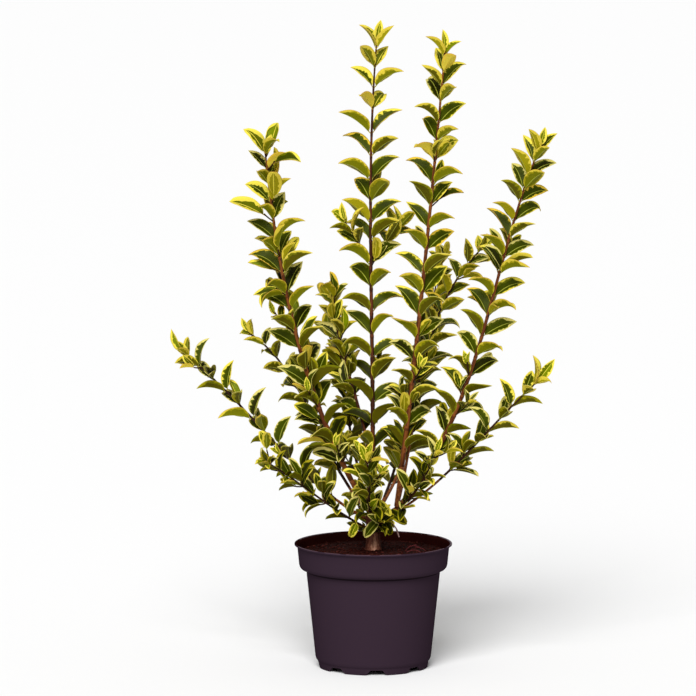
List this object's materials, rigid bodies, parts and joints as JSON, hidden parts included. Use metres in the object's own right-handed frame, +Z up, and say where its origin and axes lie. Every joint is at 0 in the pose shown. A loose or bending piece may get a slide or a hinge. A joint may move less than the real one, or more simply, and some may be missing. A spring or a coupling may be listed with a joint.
{
  "type": "potted variegated privet shrub",
  "caption": "Golden variegated oval-leaved privet shrub with upright and spreading leafy shoots on a short trunk, in a black round nursery pot with a collar and a notched foot.",
  "frame": {"origin": "centre of the flat pad under the pot's floor, on the plane that the pot stands on", "axes": "+Z up along the pot's axis, the front of the plant faces -Y, +X to its right as seen from the front"},
  "size_m": [0.4586, 0.2613, 0.7763],
  "materials": {
    "black_plastic": "moulded, dull purplish black with a soft sheen",
    "potting_soil": "crumbly dark reddish brown compost",
    "tan_bark": "smooth pale tan bark",
    "red_bark": "smooth reddish brown young bark",
    "foliage": "leathery leaves with a green centre and a golden yellow margin"
  },
  "bodies": {
    "root": {"pot": "black_plastic", "soil": "potting_soil", "trunk": "tan_bark", "limb_right": "red_bark", "bough_centre": "red_bark", "bough_centre_right": "red_bark", "bough_right": "red_bark", "bough_left": "red_bark", "bough_left_low": "red_bark", "bough_right_low": "red_bark", "bough_left_back": "red_bark", "bough_right_back": "red_bark", "bough_right_mid": "red_bark", "bough_left_foot": "red_bark", "bough_back_left": "red_bark", "bough_back_right": "red_bark", "bough_front_left": "red_bark", "bough_front_right": "red_bark", "foliage_centre": "foliage", "foliage_centre_right": "foliage", "foliage_right": "foliage", "foliage_left": "foliage", "foliage_left_low": "foliage", "foliage_right_low": "foliage", "foliage_left_inner": "foliage", "foliage_left_back": "foliage", "foliage_right_back": "foliage", "foliage_right_mid": "foliage", "foliage_left_foot": "foliage", "foliage_back_left": "foliage", "foliage_back_right": "foliage", "foliage_front_left": "foliage", "foliage_front_right": "foliage", "foliage_foot_front": "foliage", "foliage_foot_back": "foliage"}
  },
  "joints": []
}
